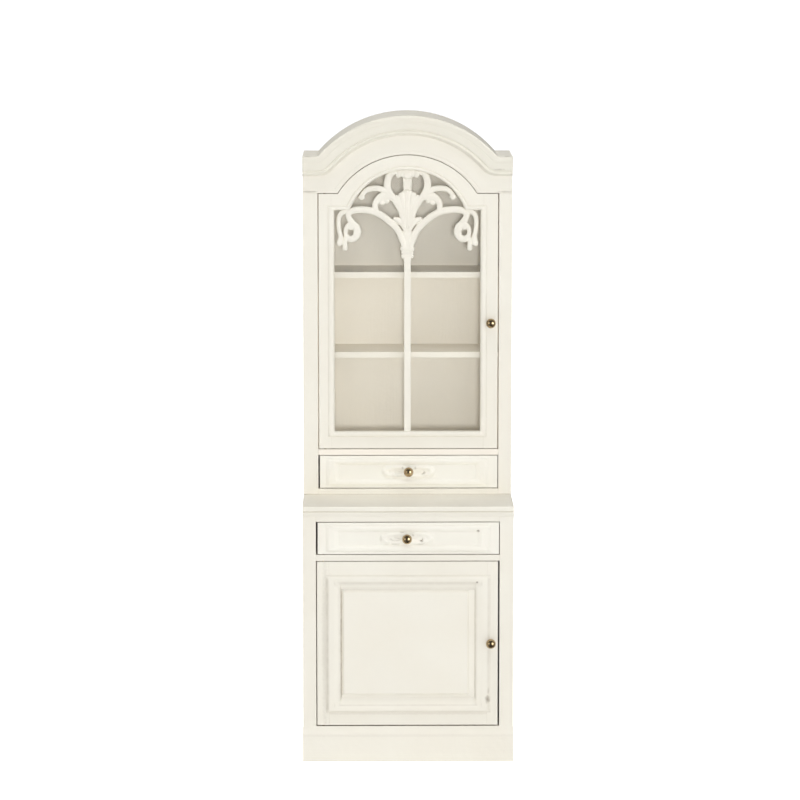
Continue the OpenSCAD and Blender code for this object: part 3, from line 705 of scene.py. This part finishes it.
def waist_bead():
    """A low soft bead close under the waist board."""
    low, high = (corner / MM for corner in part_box("waist_cove"))
    top, bottom = high.z, low.z
    # rows of (z, how far out)
    section = [(top, 0.0), (top, 0.2), (top - 0.14, 0.2), (top - 0.24, 0.28), (top - 0.4, 0.36),
               (top - 0.6, 0.4), (top - 0.82, 0.39), (top - 1.0, 0.33), (top - 1.12, 0.24),
               (top - 1.24, 0.18), (bottom + 0.14, 0.16), (bottom + 0.04, 0.1), (bottom, 0.0)]
    spots = np.linspace(low.x, high.x, 76)
    points = np.array([(x, BASE_Y - out, z) for z, out in section for x in spots])
    front = points[:, 1] < BASE_Y - 0.1
    points[:, 1] += np.where(front, 0.02 + wobble(points, 37, 0.02), 0)
    mesh = mesh_from("waist_bead_mesh", points, strip_faces(len(section), len(spots)))
    place("waist_bead_painted", mesh, "cabinet", "waist_cove", "ivory_paint", PAINT["x"])


# ---- carved work: rounded strokes melted together ----

def spline(controls, step=0.22):
    """A Catmull-Rom curve through rows (x, z, width), sampled about a step apart."""
    rows = np.array(controls, float)
    if len(rows) == 2:
        rows = np.array([rows[0], (rows[0] + rows[1]) / 2, rows[1]])
    padded = np.vstack([2 * rows[0] - rows[1], rows, 2 * rows[-1] - rows[-2]])
    samples = []
    for i in range(1, len(padded) - 2):
        p0, p1, p2, p3 = padded[i - 1:i + 3]
        n = max(2, int(np.linalg.norm(p2[:2] - p1[:2]) / step))
        for t in np.linspace(0, 1, n, endpoint=False):
            samples.append(0.5 * (2 * p1 + (p2 - p0) * t + (2 * p0 - 5 * p1 + 4 * p2 - p3) * t * t
                                  + (3 * p1 - p0 - 3 * p2 + p3) * t ** 3))
    samples.append(rows[-1])
    return np.array(samples)


ROUND = 20
CAP_ANGLES = (84, 62, 40, 20)
MELT_VOXEL = 0.11


class Carving:
    """Collects strokes as closed tubes with flat backs and domed fronts."""

    def __init__(self, back, middle, front):
        """The places in y of the flat back, of the widest part and of the front."""
        self.back, self.middle, self.front = back, middle, front
        self.points, self.faces = [], []

    def section(self, centre, normal, half, scale, lift):
        """Adds one ring across a stroke. half is half its width, and scale is below 1 toward its ends."""
        for k in range(ROUND):
            angle = 2 * math.pi * k / ROUND
            across = math.copysign(abs(math.cos(angle)) ** 0.8, math.cos(angle)) * half * scale
            up = math.sin(angle)
            # exponents below 1 make the front fuller than a circle, and the back is nearly square
            if up > 0:
                y = self.middle - (self.middle - self.front) * lift * up ** 0.6 * (0.35 + 0.65 * scale)
            else:
                y = self.middle + (self.back - self.middle) * min(1.0, -up * 3)
            self.points.append((centre[0] + normal[0] * across, y, centre[1] + normal[1] * across))

    def stroke(self, controls, lift=1.0, mirrored=True):
        """A stroke through rows (x, z, width); lift scales how far its front stands out."""
        for sign in (1, -1) if mirrored else (1,):
            samples = spline(controls) * (sign, 1, 1)
            flat = samples[:, :2]
            tangents = np.gradient(flat, axis=0)
            tangents /= np.linalg.norm(tangents, axis=1)[:, None] + 1e-9
            normals = np.stack([-tangents[:, 1], tangents[:, 0]], axis=1)
            first = len(self.points)
            caps = [(math.cos(a), math.sin(a)) for a in np.radians(CAP_ANGLES)]
            halves = samples[:, 2] / 2
            # rows of (centre, normal, half width, scale): a rounded start, the run, a rounded end
            rings = [(flat[0] - tangents[0] * out * halves[0], normals[0], halves[0], thin)
                     for thin, out in caps]
            rings += [(centre, normal, half, 1.0) for centre, normal, half in zip(flat, normals, halves)]
            rings += [(flat[-1] + tangents[-1] * out * halves[-1], normals[-1], halves[-1], thin)
                      for thin, out in reversed(caps)]
            for centre, normal, half, scale in rings:
                self.section(centre, normal, half, scale, lift)
            for i in range(len(rings) - 1):
                a = first + i * ROUND
                for j in range(ROUND):
                    k = (j + 1) % ROUND
                    self.faces.append((a + j, a + k, a + ROUND + k, a + ROUND + j))
            self.faces.append(tuple(range(first + ROUND - 1, first - 1, -1)))
            last = first + (len(rings) - 1) * ROUND
            self.faces.append(tuple(range(last, last + ROUND)))

    def knob(self, x, z, radius, lift=1.0, mirrored=True):
        """A round stroke, a little wider than it is tall."""
        width = radius * 1.75
        self.stroke([(x - radius * 0.15, z, width), (x + radius * 0.15, z, width)], lift, mirrored)

    def piece(self, name, body, node):
        """Makes the piece from the strokes so far, melted into one skin."""
        mesh = mesh_from(name + "_mesh", self.points, self.faces)
        made = place(name, mesh, body, node, "ivory_paint", PAINT["z"])
        melt = made.modifiers.new("melt", "REMESH")
        melt.mode = "VOXEL"
        melt.voxel_size = MELT_VOXEL * MM
        melt.use_smooth_shade = True
        soften = made.modifiers.new("soften", "SMOOTH")
        soften.factor = 0.5
        soften.iterations = 3


def tracery():
    """The pierced spray in the head of the glazed door: a shell on a collared stem, vines and scrolls."""
    work = Carving(back=HUTCH_Y + 1.68, middle=HUTCH_Y + 1.05, front=HUTCH_Y + 0.24)
    # the main vines, out of the stem and over to the scrolls at the sides
    work.stroke([(0.9, 145.3, 1.4), (1.14, 146.6, 1.7), (1.6, 148.1, 1.9), (2.35, 149.96, 2.0),
                 (3.6, 151.7, 2.05), (5.43, 153.4, 2.05), (7.7, 155.05, 2.05), (10, 156.05, 2.05),
                 (12.57, 156.5, 2.05), (14.8, 156.45, 2.0), (16.3, 155.95, 1.9), (16.9, 155.0, 1.8),
                 (16.6, 153.9, 1.8), (15.9, 152.8, 2.1)])
    # the scroll: a fat curl round a small eye that lies toward its outer side
    work.stroke([(15.9, 152.5, 2.1), (14.75, 151.6, 2.2), (14.35, 150.0, 2.3), (14.95, 148.55, 2.1),
                 (16.2, 148.05, 2.0), (17.25, 148.65, 1.6), (17.7, 149.9, 1.3), (17.4, 151.3, 1.5),
                 (16.6, 152.2, 1.7)])
    work.knob(16.15, 151.45, 0.95, lift=0.9)
    work.stroke([(17.6, 148.6, 1.2), (17.8, 147.1, 1.2), (17.85, 145.9, 1.6), (17.85, 145.4, 1.6)], lift=0.92)
    # the outer drop, down the side of the pane
    work.stroke([(16.2, 156.3, 1.7), (17.8, 156.2, 1.7), (19.0, 155.4, 1.6), (19.6, 154.2, 1.4),
                 (19.7, 152.2, 1.35), (19.45, 150.2, 1.35), (19.15, 148.9, 1.45), (19.25, 147.6, 1.75),
                 (19.45, 146.9, 1.85)], lift=0.95)
    # the inner branches that rise like a lyre and curl in under the arch
    work.stroke([(0.9, 151.5, 1.5), (1.3, 154.0, 1.7), (2.2, 156.8, 1.8), (3.6, 159.2, 1.95),
                 (4.9, 161.0, 2.0), (5.6, 162.6, 2.1), (5.75, 164.2, 2.1), (5.4, 165.8, 2.0),
                 (4.6, 166.9, 1.8), (3.6, 167.2, 1.5)], lift=0.97)
    work.stroke([(5.3, 166.4, 1.9), (4.8, 167.2, 1.6)], lift=0.8)
    # the side branch that ends in a ball
    work.stroke([(5.0, 160.9, 1.5), (6.4, 161.9, 1.75), (8, 162.5, 1.75), (10.1, 162.6, 1.7),
                 (11.7, 162.15, 1.65), (12.7, 161.2, 1.6)])
    work.knob(13.06, 160.2, 1.0, lift=1.1)
    # the fat leaf that hooks down from the side branch, with a lobed inner edge
    work.stroke([(4.3, 159.9, 1.7), (5.6, 160.3, 2.4), (7.2, 160.2, 2.5), (8.5, 159.3, 2.1),
                 (9.2, 158.0, 1.8), (9.15, 156.6, 1.7), (8.9, 155.8, 1.6)])
    work.knob(6.0, 158.95, 0.85, lift=0.85)
    work.knob(7.2, 158.6, 0.95, lift=1.0)
    # the small leaves at the foot of the spray, split from the vine by a slit
    work.stroke([(0.6, 150.6, 1.1), (1.5, 152.2, 1.4), (2.6, 153.4, 1.6), (3.5, 153.85, 1.3)], lift=0.9)
    # the stem with its collars
    work.stroke([(0, 141.9, 2.3), (0, 145.9, 2.7)], lift=0.85, mirrored=False)
    work.stroke([(-1.55, 145.25, 1.2), (1.55, 145.25, 1.2)], lift=1.12, mirrored=False)
    work.stroke([(-1.1, 144.2, 1.5), (1.1, 144.2, 1.5)], lift=0.98, mirrored=False)
    work.stroke([(-1.25, 143.1, 1.3), (1.25, 143.1, 1.3)], lift=1.08, mirrored=False)
    # the body of the spray and the shell's five ribs
    work.stroke([(0, 145.5, 2.4), (0, 150, 2.5), (0, 152, 3.1), (0, 154, 3.8), (0, 156.4, 4.4),
                 (0, 158.5, 5.3), (0, 159.4, 5.5)], lift=0.8, mirrored=False)
    work.stroke([(0, 151.5, 0.9), (0, 156, 1.4), (0, 160, 1.8), (0, 161.2, 1.8)], lift=1.06, mirrored=False)
    work.stroke([(0.25, 152.2, 0.9), (0.95, 156, 1.3), (1.45, 159.4, 1.6), (1.7, 160.7, 1.7)], lift=0.98)
    work.stroke([(0.5, 152.6, 0.9), (1.6, 156, 1.3), (2.5, 158.8, 1.6), (3.0, 159.95, 1.6)], lift=0.92)
    # the crest that hangs from the crown of the arch, on a sunk stalk
    work.stroke([(0, 161.6, 2.3), (0, 165.5, 2.7)], lift=-0.4, mirrored=False)
    work.stroke([(-3.3, 167.3, 1.7), (0, 167.75, 1.8), (3.3, 167.3, 1.7)], lift=0.7, mirrored=False)
    work.knob(0, 166.35, 1.3, lift=1.05, mirrored=False)
    work.stroke([(1.35, 167.2, 1.3), (1.4, 166.5, 1.4)], lift=0.85)
    work.stroke([(2.5, 167.2, 1.6), (2.6, 166.35, 1.5)], lift=0.97)
    work.piece("upper_door_tracery_carved", "upper_door", "upper_door_fretwork")


# ---- sprays on the drawers ----

# One side of a spray, from the knob outward: strokes of (x, z, width) with their height
SPRAY_STROKES = [
    ([(0.6, 0.7, 1.3), (1.7, 1.15, 1.5), (3.2, 1.3, 1.5), (4.8, 1.2, 1.7), (6.0, 0.85, 2.0),
      (6.6, 0.1, 2.2), (6.3, -0.6, 2.0), (5.4, -1.0, 1.5)], 0.55),
    ([(0.8, -0.8, 1.4), (1.9, -1.15, 1.5), (3.1, -1.3, 1.4), (4.2, -1.15, 1.3), (4.9, -0.6, 1.3)], 0.45),
    ([(1.2, 0.2, 1.3), (2.2, 0.35, 1.1), (3.2, 0.45, 0.8)], 0.28),
    ([(4.9, 0.4, 1.2), (5.3, -0.2, 1.2)], 0.34),
]
# Pits in the right (1) and left (-1) side: rows of (x, z, half width, half height, depth)
SPRAY_PITS = {
    1: [(3.95, -0.3, 0.62, 0.42, 0.5)],
    -1: [(3.3, -0.1, 1.5, 0.32, 0.3), (6.3, 1.3, 0.7, 0.3, 0.1)],
}
SPRAY_FOOT = 0.08
# Painted shade in the hollows: the scrolls' eyes, under the scrolls and at the left scroll's outer edge, as
# marks from the middle of each drawer's spray
SPRAY_PAINTED_SHADE = {
    "upper_drawer": [(4.3, -0.35, 0.65, 0.6, 0.6), (-2.7, -0.2, 1.0, 0.4, 0.2),
                     (-1.7, 1.15, 0.35, 0.45, 0.35), (1.95, 1.15, 0.35, 0.45, 0.38),
                     (-2.4, -1.3, 2.2, 0.35, 0.16), (-7.4, 0.1, 0.5, 0.9, 0.06)],
    "lower_drawer": [(4.1, -0.4, 0.6, 0.7, 0.85), (-3.3, -0.25, 1.7, 0.5, 0.45),
                     (-1.2, 1.85, 0.9, 0.35, 0.32), (-3.2, -1.65, 1.3, 0.35, 0.25),
                     (3.8, -1.65, 1.5, 0.35, 0.25), (-7.4, 0.1, 0.5, 1.0, 0.16),
                     (1.7, 1.0, 0.4, 0.45, 0.28)],
}


def bump_of(reach):
    """A soft bump: 1 at its middle, where reach is 0, down to 0 where reach is 1 and beyond."""
    return 0.5 + 0.5 * np.cos(math.pi * np.clip(reach, 0, 1))


def relief_height(x, z, side):
    """How far the spray stands out at points x, z on one side of the knob (side is 1 or -1).

    Within a stroke, a pit goes down to the stroke's foot at most.
    """
    spots = np.stack([x * side, z], axis=-1)
    height = np.zeros(len(x))
    for rows, lift in SPRAY_STROKES:
        for px, pz, width in spline(rows, step=0.12):
            reach = np.hypot(spots[:, 0] - px, spots[:, 1] - pz) / (width * 0.62)
            height = np.maximum(height, lift * bump_of(reach) ** 0.75)
    stands = height > SPRAY_FOOT
    for px, pz, wide, tall, depth in SPRAY_PITS[side]:
        away = ((spots[:, 0] - px) / wide) ** 2 + ((spots[:, 1] - pz) / tall) ** 2
        height -= depth * np.exp(-away)
    return np.where(stands, np.maximum(height, SPRAY_FOOT), height)


def applique(drawer, seed):
    """A soft low spray of C-scrolls at both sides of the drawer's knob, drowned in paint."""
    low, high = (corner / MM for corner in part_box(drawer + "_applique"))
    middle_x, middle_z = (low.x + high.x) / 2, (low.z + high.z) / 2
    face = BASE_Y if drawer == "lower_drawer" else HUTCH_Y
    half_x, half_z, cell = 7.8, 2.2, 0.1
    under, thick, deepest, highest = 0.03, 0.6, -0.3, 0.56
    boss_radius, boss_height = 1.9, 0.3
    columns, rows = int(2 * half_x / cell) + 1, int(2 * half_z / cell) + 1
    x, z = (grid.ravel() for grid in np.meshgrid(np.linspace(-half_x, half_x, columns),
                                                 np.linspace(-half_z, half_z, rows)))
    height = np.where(x > 0, relief_height(x, z, 1), relief_height(x, z, -1))
    height = np.maximum(height, boss_height * bump_of(np.hypot(x, z) / boss_radius))
    grid = height.reshape(rows, columns)
    for _ in range(4):
        grid[1:-1, 1:-1] = (4 * grid[1:-1, 1:-1] + grid[:-2, 1:-1] + grid[2:, 1:-1] + grid[1:-1, :-2]
                            + grid[1:-1, 2:]) / 8
    height = grid.ravel()
    # the paint is more uneven here than on the mouldings, and only where the spray stands out
    height += wobble(np.stack([x, height, z], axis=-1) * 1.8, seed, 0.035) * (height > 0.04)
    out = np.clip(height, deepest, highest)
    front = np.stack([x + middle_x, face + under - out, z + middle_z], axis=-1)
    back = np.stack([x + middle_x, np.full(len(x), face + thick), z + middle_z], axis=-1)
    faces, count = [], rows * columns
    for r in range(rows - 1):
        for c in range(columns - 1):
            a = r * columns + c
            quad = (a, a + 1, a + columns + 1, a + columns)
            faces += [quad, tuple(count + v for v in reversed(quad))]
    rim = (list(range(columns)) + [r * columns + columns - 1 for r in range(1, rows)]
           + [count - 1 - c for c in range(1, columns)] + [r * columns for r in range(rows - 2, 0, -1)])
    for a, b in zip(rim, rim[1:] + rim[:1]):
        faces.append((b, a, count + a, count + b))
    mesh = mesh_from(drawer + "_spray_mesh", np.vstack([front, back]), faces)
    # the spray's painted shade
    marks = [(x + middle_x, z + middle_z, wide, tall, strength)
             for x, z, wide, tall, strength in SPRAY_PAINTED_SHADE[drawer]]
    place(drawer + "_spray_carved", mesh, drawer, drawer + "_applique", "ivory_paint",
          *marked_paint(drawer + "_spray", "x", marks, DRAWER_PALE))


# ---- knobs ----

def turned_knob(body):
    """A ball on a waisted stalk over a stepped rose, turned about the axis that points to the front.

    The profile is rows of (y, radius), from the shank's end inside the wood to the ball's front.
    """
    node = body + "_knob"
    low, high = (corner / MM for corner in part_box(node))
    ball = (high.x - low.x) / 2 - 0.05
    axis_x, axis_z = (low.x + high.x) / 2, (low.z + high.z) / 2
    centre_y = low.y + ball
    face = centre_y + 2.2
    shank_end, shank, neck = face + 1.3, 0.42, 0.5
    profile = [(shank_end, 0.0), (shank_end, shank), (face, shank), (face, 0.85), (face - 0.1, 0.85),
               (face - 0.17, 0.80), (face - 0.2, 0.66), (face - 0.26, 0.6), (face - 0.3, neck),
               (face - 0.42, 0.44), (face - 0.6, 0.46)]
    start = math.acos(neck / ball)
    for angle in np.linspace(math.pi / 2 - start, math.pi, 40)[:-1]:
        profile.append((centre_y + ball * math.cos(angle), ball * math.sin(angle)))
    profile.append((centre_y - ball, 0.0))
    around = 56
    points, faces = [], []
    for y, radius in profile[1:-1]:
        for k in range(around):
            angle = 2 * math.pi * k / around
            points.append((axis_x + radius * math.cos(angle), y, axis_z + radius * math.sin(angle)))
    for i in range(len(profile) - 3):
        for k in range(around):
            n = (k + 1) % around
            faces.append((i * around + k, i * around + n, (i + 1) * around + n, (i + 1) * around + k))
    points += [(axis_x, profile[0][0], axis_z), (axis_x, profile[-1][0], axis_z)]
    last = (len(profile) - 3) * around
    for k in range(around):
        n = (k + 1) % around
        faces.append((len(points) - 2, n, k))
        faces.append((len(points) - 1, last + k, last + n))
    mesh = mesh_from(node + "_mesh", points, faces)
    piece = place(node + "_turned", mesh, body, node, "brass", BRASS)
    edges = piece.modifiers.new("edges", "WEIGHTED_NORMAL")
    edges.keep_sharp = True


cornice()
waist_bead()
lower_door_moulding()
drawer_moulding("upper_drawer", 5)
drawer_moulding("lower_drawer", 8)
glazing_bead()
tracery()
applique("upper_drawer", 43)
applique("lower_drawer", 47)
for owner in ("upper_door", "lower_door", "upper_drawer", "lower_drawer"):
    turned_knob(owner)


# ---- studio ----

FLOOR_RADIUS = 12
DOME_RADIUS = 11.5
WORLD_STRENGTH = 0.086
WINDOW_BLUR = 0.05
# Bright patches of the dome, which only gloss shows: (bearing, height, half width as a share of the
# dome's radius, strength)
WINDOWS = [(44, 12, 0.38, 4.0), (-54, 12, 0.25, 2.2)]


def toward(bearing, height):
    """The direction at a bearing in degrees right of the front and an angle above the horizontal."""
    side, up = math.radians(bearing), math.radians(height)
    return Vector((math.sin(side) * math.cos(up), -math.cos(side) * math.cos(up), math.sin(up)))


def make_floor():
    """A pale matt floor, over-exposed to plain white as the camera sees it."""
    bpy.ops.mesh.primitive_circle_add(vertices=96, radius=FLOOR_RADIUS, fill_type="NGON")
    floor = bpy.context.object
    floor.name = "studio_floor"
    material, tree, output = new_material("pale_floor")
    tone = noise_at(tree, object_coords(tree), FLOOR_TONE)
    colour = mix_colour(tree, tone, (0.90, 0.90, 0.90), (0.92, 0.92, 0.92))
    shader = add(tree, "ShaderNodeBsdfPrincipled", Base_Color=colour, Roughness=0.9)
    shader.inputs["Emission Color"].default_value = (1, 1, 1, 1)
    tree.links.new(tree.nodes.new("ShaderNodeLightPath").outputs["Is Camera Ray"],
                   shader.inputs["Emission Strength"])
    tree.links.new(shader.outputs[0], output.inputs[0])
    floor.data.materials.append(material)
    floor.visible_glossy = False


def make_backdrop():
    """A dome that the camera sees as plain white. Gloss shows it dim, brighter at the sides, with windows."""
    bpy.ops.mesh.primitive_uv_sphere_add(segments=64, ring_count=32, radius=DOME_RADIUS)
    dome = bpy.context.object
    dome.name = "studio_backdrop"
    material, tree, output = new_material("white_backdrop")
    coords = object_coords(tree)
    across = add(tree, "ShaderNodeSeparateXYZ", Vector=coords).outputs["X"]
    sideways = math_node(tree, "ABSOLUTE", across, 0.0)
    reflected = spread(tree, sideways, 0.25 * DOME_RADIUS, 0.85 * DOME_RADIUS, 0.10, 0.32)
    for bearing, height, reach, strength in WINDOWS:
        away = tree.nodes.new("ShaderNodeVectorMath")
        away.operation = "DISTANCE"
        away.inputs[1].default_value = toward(bearing, height) * DOME_RADIUS
        tree.links.new(coords, away.inputs[0])
        outside, inside = (reach + WINDOW_BLUR) * DOME_RADIUS, (reach - WINDOW_BLUR) * DOME_RADIUS
        bright = spread(tree, away.outputs["Value"], outside, inside, 0.0, strength)
        reflected = math_node(tree, "MAXIMUM", reflected, bright)
    seen = tree.nodes.new("ShaderNodeLightPath").outputs["Is Camera Ray"]
    glow = add(tree, "ShaderNodeEmission", Strength=math_node(tree, "MAXIMUM", seen, reflected))
    tree.links.new(glow.outputs[0], output.inputs[0])
    dome.data.materials.append(material)
    dome.visible_diffuse = False
    dome.visible_shadow = False


# (name, bearing and height in degrees, distance and size in metres, power in watts)
LIGHTS = [
    ("front_light_low", 0.5, 5, 2.2, 0.16, 17.95),
    ("front_light_right", 15, 6, 2.2, 0.5, 1.81),
    ("front_light_middle", 5, 24, 2.2, 0.5, 1.43),
    ("front_light_high", 6, 46, 2.2, 0.8, 1.72),
    ("key_light", 45, 11, 1.5, 0.5, 2.3),
    ("top_light", 0, 72, 1.6, 1.0, 7.93),
    ("left_light", -80, 50, 1.8, 1.0, 7.64),
    ("back_light", 180, 50, 2.0, 1.0, 16.2),
]


def make_lights():
    """Square lights that point at the cabinet's middle and don't show in gloss, and an even white world."""
    middle = Vector((0, 0, 0.1))
    for name, bearing, height, distance, size, power in LIGHTS:
        data = bpy.data.lights.new(name, "AREA")
        data.size = size
        data.energy = power
        lamp = bpy.data.objects.new(name, data)
        lamp.location = middle + toward(bearing, height) * distance
        lamp.rotation_euler = (middle - lamp.location).to_track_quat("-Z", "Y").to_euler()
        lamp.visible_glossy = False
        bpy.context.scene.collection.objects.link(lamp)
    world = bpy.data.worlds.new("studio_world")
    world.use_nodes = True
    background = world.node_tree.nodes["Background"]
    background.inputs["Color"].default_value = (1.0, 1.0, 1.0, 1.0)
    background.inputs["Strength"].default_value = WORLD_STRENGTH
    bpy.context.scene.world = world


# The camera stands a metre in front of the base, a little left of the middle and above the top.
# Places are in mm, and it is turned down and to the right by these degrees.
CAMERA_FROM_BASE = 995
CAMERA_X = -11.0
CAMERA_Z = 247.9
CAMERA_DOWN = 8.2
CAMERA_RIGHT = 0.5
CAMERA_LENS = 160.3
CAMERA_NEAR, CAMERA_FAR = 0.05, 50


def make_camera():
    data = bpy.data.cameras.new("camera")
    data.lens = CAMERA_LENS
    data.sensor_width = 36
    data.clip_start = CAMERA_NEAR
    data.clip_end = CAMERA_FAR
    camera = bpy.data.objects.new("camera", data)
    camera.location = mm(CAMERA_X, BASE_Y - CAMERA_FROM_BASE, CAMERA_Z)
    camera.rotation_euler = (math.radians(90 - CAMERA_DOWN), 0, math.radians(-CAMERA_RIGHT))
    bpy.context.scene.collection.objects.link(camera)
    bpy.context.scene.camera = camera


make_floor()
make_backdrop()
make_lights()
make_camera()
bpy.context.scene.view_settings.view_transform = "Standard"
